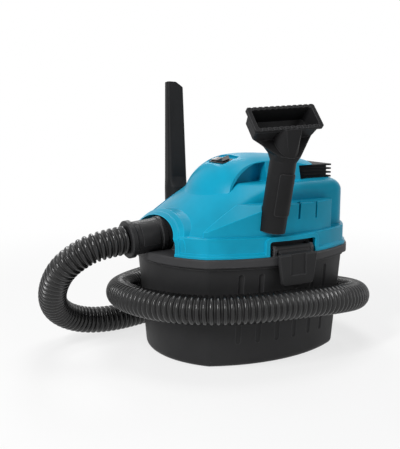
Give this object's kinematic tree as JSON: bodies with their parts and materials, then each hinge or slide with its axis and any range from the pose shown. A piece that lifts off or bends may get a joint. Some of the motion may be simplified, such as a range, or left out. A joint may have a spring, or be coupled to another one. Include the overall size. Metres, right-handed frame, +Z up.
{
  "type": "shop vacuum",
  "caption": "Compact wet and dry canister vacuum: fluted tank, latched motor head with grip, corrugated hose laid round the tank and stored nozzles.",
  "frame": {"origin": "centre of the tank's flat underside, on the floor", "axes": "+Z up, the hose inlet faces -Y, the wide nozzle is stored on the +X side"},
  "size_m": [0.3544, 0.4835, 0.3844],
  "materials": {
    "tank_plastic": "fine moulded grain, satin black",
    "base_plastic": "satin black",
    "cover_plastic": "satin gloss blue green",
    "black_plastic": "satin black",
    "rocker_plastic": "gloss black",
    "hose_plastic": "glossy ribbed black",
    "soft_rubber": "matt",
    "foam": "open cell foam",
    "steel": "bare steel",
    "pressed_steel": "zinc plated sheet",
    "aluminium": "as pressed",
    "brass": "plain",
    "motor_plastic": "glass filled grey",
    "float_plastic": "natural white"
  },
  "bodies": {
    "tank": {"tank": "tank_plastic"},
    "head": {"head_base": "base_plastic", "tank_seal": "soft_rubber", "motor_cover": "cover_plastic", "inlet_elbow": "black_plastic", "exhaust_louvre": "black_plastic", "switch_housing": "black_plastic", "latch_pin_near": "steel", "latch_pin_far": "steel", "fan_shell": "pressed_steel", "fan_gasket": "soft_rubber", "stator": "pressed_steel", "motor_frame": "motor_plastic", "bearing_lower": "steel", "bearing_upper": "steel", "brush_holders": "brass", "filter_cage": "black_plastic", "filter_sleeve": "foam", "filter_band": "soft_rubber", "cover_screws": "steel", "cord_gland": "soft_rubber", "hose_cuff": "black_plastic", "hose": "hose_plastic", "hose_end_cuff": "black_plastic"},
    "rotor": {"rotor": "steel", "impeller": "aluminium", "impeller_nut": "steel"},
    "rocker": {"rocker": "rocker_plastic"},
    "latch_near": {"latch_near": "black_plastic"},
    "latch_far": {"latch_far": "black_plastic"},
    "float": {"float_ball": "float_plastic"},
    "utility_nozzle": {"utility_nozzle": "black_plastic"},
    "crevice_tool": {"crevice_tool": "black_plastic"}
  },
  "joints": [
    {"name": "head_lift", "type": "slide", "parent": "tank", "child": "head", "axis": [0, 0, 1], "range_m": [0, 0.16]},
    {"name": "latch_near_swing", "type": "hinge", "parent": "head", "child": "latch_near", "pos_m": [0.1235, 0.0045, 0.161], "axis": [0, -1, 0], "range_deg": [0, 80]},
    {"name": "latch_far_swing", "type": "hinge", "parent": "head", "child": "latch_far", "pos_m": [-0.1235, 0.0045, 0.161], "axis": [0, 1, 0], "range_deg": [0, 80]},
    {"name": "rocker_tip", "type": "hinge", "parent": "head", "child": "rocker", "pos_m": [0, -0.03257, 0.26796], "axis": [0, 0.9636, 0.2672], "range_deg": [0, 16]},
    {"name": "rotor_spin", "type": "hinge", "parent": "head", "child": "rotor", "pos_m": [0, 0.0085, 0.2], "axis": [0, 0, 1], "continuous": true},
    {"name": "float_rise", "type": "slide", "parent": "head", "child": "float", "axis": [0, 0, 1], "range_m": [0, 0.0364]},
    {"name": "nozzle_lift", "type": "slide", "parent": "head", "child": "utility_nozzle", "axis": [0.1475, 0.0621, 0.9871], "range_m": [0, 0.06]},
    {"name": "crevice_lift", "type": "slide", "parent": "head", "child": "crevice_tool", "axis": [-0.1475, 0.0621, 0.9871], "range_m": [0, 0.06]}
  ]
}
